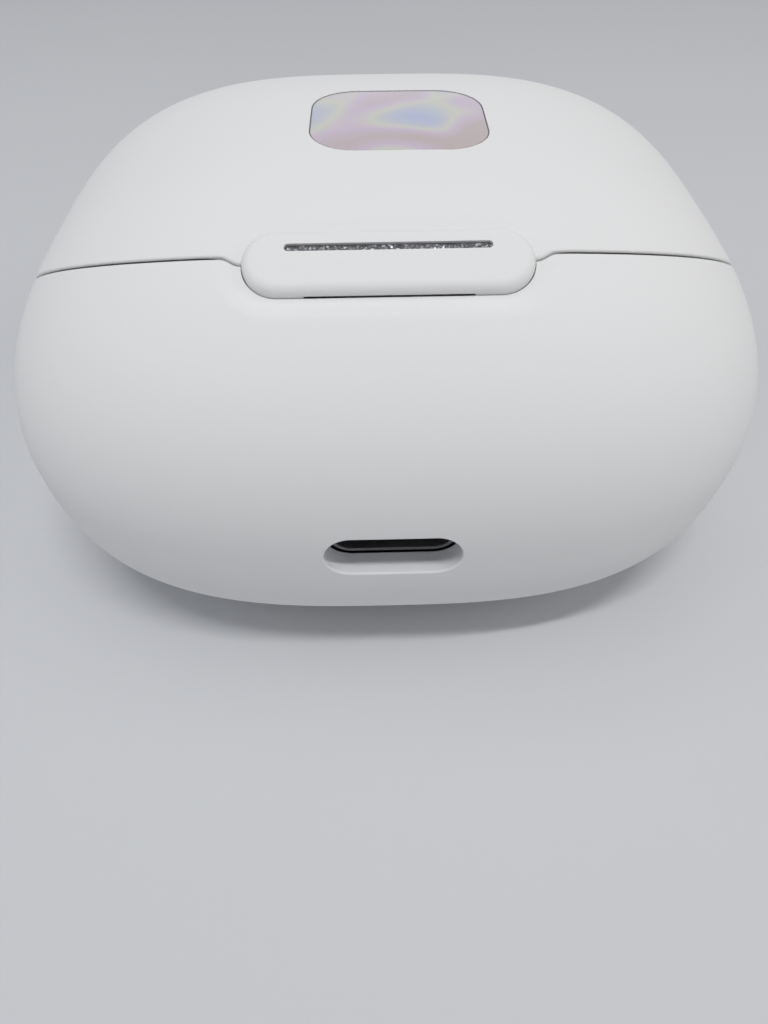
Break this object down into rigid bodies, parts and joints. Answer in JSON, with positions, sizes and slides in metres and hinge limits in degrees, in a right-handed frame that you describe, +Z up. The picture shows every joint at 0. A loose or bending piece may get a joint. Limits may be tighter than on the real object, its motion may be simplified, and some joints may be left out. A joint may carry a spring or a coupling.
{
  "type": "wireless earbuds case",
  "caption": "Pebble-shaped charging case for stem earbuds: hinged lid on a sloping split, hinge cover, charging port, twin wells with sprung contacts.",
  "frame": {"origin": "centre of the flat rest face under the case", "axes": "+X across the width, +Y from the hinge and port side towards the front, +Z up through the lid"},
  "size_m": [0.06, 0.053, 0.0325],
  "materials": {
    "shell_white": "satin white with a very fine grain",
    "tray_white": "satin white",
    "cover_gloss": "polished white",
    "dark_metal": "dark bead-blasted metal",
    "inlay_mirror": "polished mirror film, faint violet and gold tint",
    "steel": "plain steel",
    "socket_steel": "drawn steel shell",
    "black_plastic": "black moulded plastic",
    "gold": "gold plated",
    "board_green": "green solder mask",
    "battery_foil": "silver foil pouch",
    "foam": "soft black foam",
    "flex_amber": "amber flexible circuit",
    "light_clear": "frosted clear",
    "light_body": "small light package",
    "magnet_nickel": "nickel plated"
  },
  "bodies": {
    "base": {"base_shell": "shell_white", "cradle_tray": "tray_white", "charging_socket": "socket_steel", "socket_tongue": "black_plastic", "socket_contacts": "gold", "main_board": "board_green", "board_chips": "black_plastic", "board_screws": "steel", "battery_cell": "battery_foil", "battery_pad": "foam", "contact_barrels": "gold", "contact_flex": "flex_amber", "status_light_pipe": "light_clear", "status_light": "light_body", "front_board": "board_green", "lid_sensor": "black_plastic", "button_switch": "black_plastic", "bud_magnets": "magnet_nickel", "base_magnets": "magnet_nickel", "hinge_bracket": "steel", "hinge_pin": "steel", "bracket_screws": "steel"},
    "lid": {"lid_shell": "shell_white", "lid_liner": "tray_white", "lid_inlay": "inlay_mirror", "hinge_cover": "cover_gloss", "hinge_strip": "dark_metal", "lid_magnets": "magnet_nickel"},
    "pairing_button": {"pairing_button": "cover_gloss"},
    "contact_pin_left_front": {"contact_pin_left_front": "gold"},
    "contact_pin_left_rear": {"contact_pin_left_rear": "gold"},
    "contact_pin_right_front": {"contact_pin_right_front": "gold"},
    "contact_pin_right_rear": {"contact_pin_right_rear": "gold"}
  },
  "joints": [
    {"name": "lid_hinge", "type": "hinge", "parent": "base", "child": "lid", "pos_m": [0, -0.01469, 0.02986], "axis": [1, 0, 0], "range_deg": [0, 90]},
    {"name": "pairing_button_press", "type": "slide", "parent": "base", "child": "pairing_button", "axis": [0, 0, -1], "range_m": [0, 0.0003], "stiffness_N_per_m": 500, "springref_m": -0.0003},
    {"name": "contact_pin_left_front_press", "type": "slide", "parent": "base", "child": "contact_pin_left_front", "axis": [0, -0.6018, -0.7986], "range_m": [0, 0.0005], "stiffness_N_per_m": 200, "springref_m": -0.0003},
    {"name": "contact_pin_left_rear_press", "type": "slide", "parent": "base", "child": "contact_pin_left_rear", "axis": [0, -0.6018, -0.7986], "range_m": [0, 0.0005], "stiffness_N_per_m": 200, "springref_m": -0.0003},
    {"name": "contact_pin_right_front_press", "type": "slide", "parent": "base", "child": "contact_pin_right_front", "axis": [0, -0.6018, -0.7986], "range_m": [0, 0.0005], "stiffness_N_per_m": 200, "springref_m": -0.0003},
    {"name": "contact_pin_right_rear_press", "type": "slide", "parent": "base", "child": "contact_pin_right_rear", "axis": [0, -0.6018, -0.7986], "range_m": [0, 0.0005], "stiffness_N_per_m": 200, "springref_m": -0.0003}
  ]
}
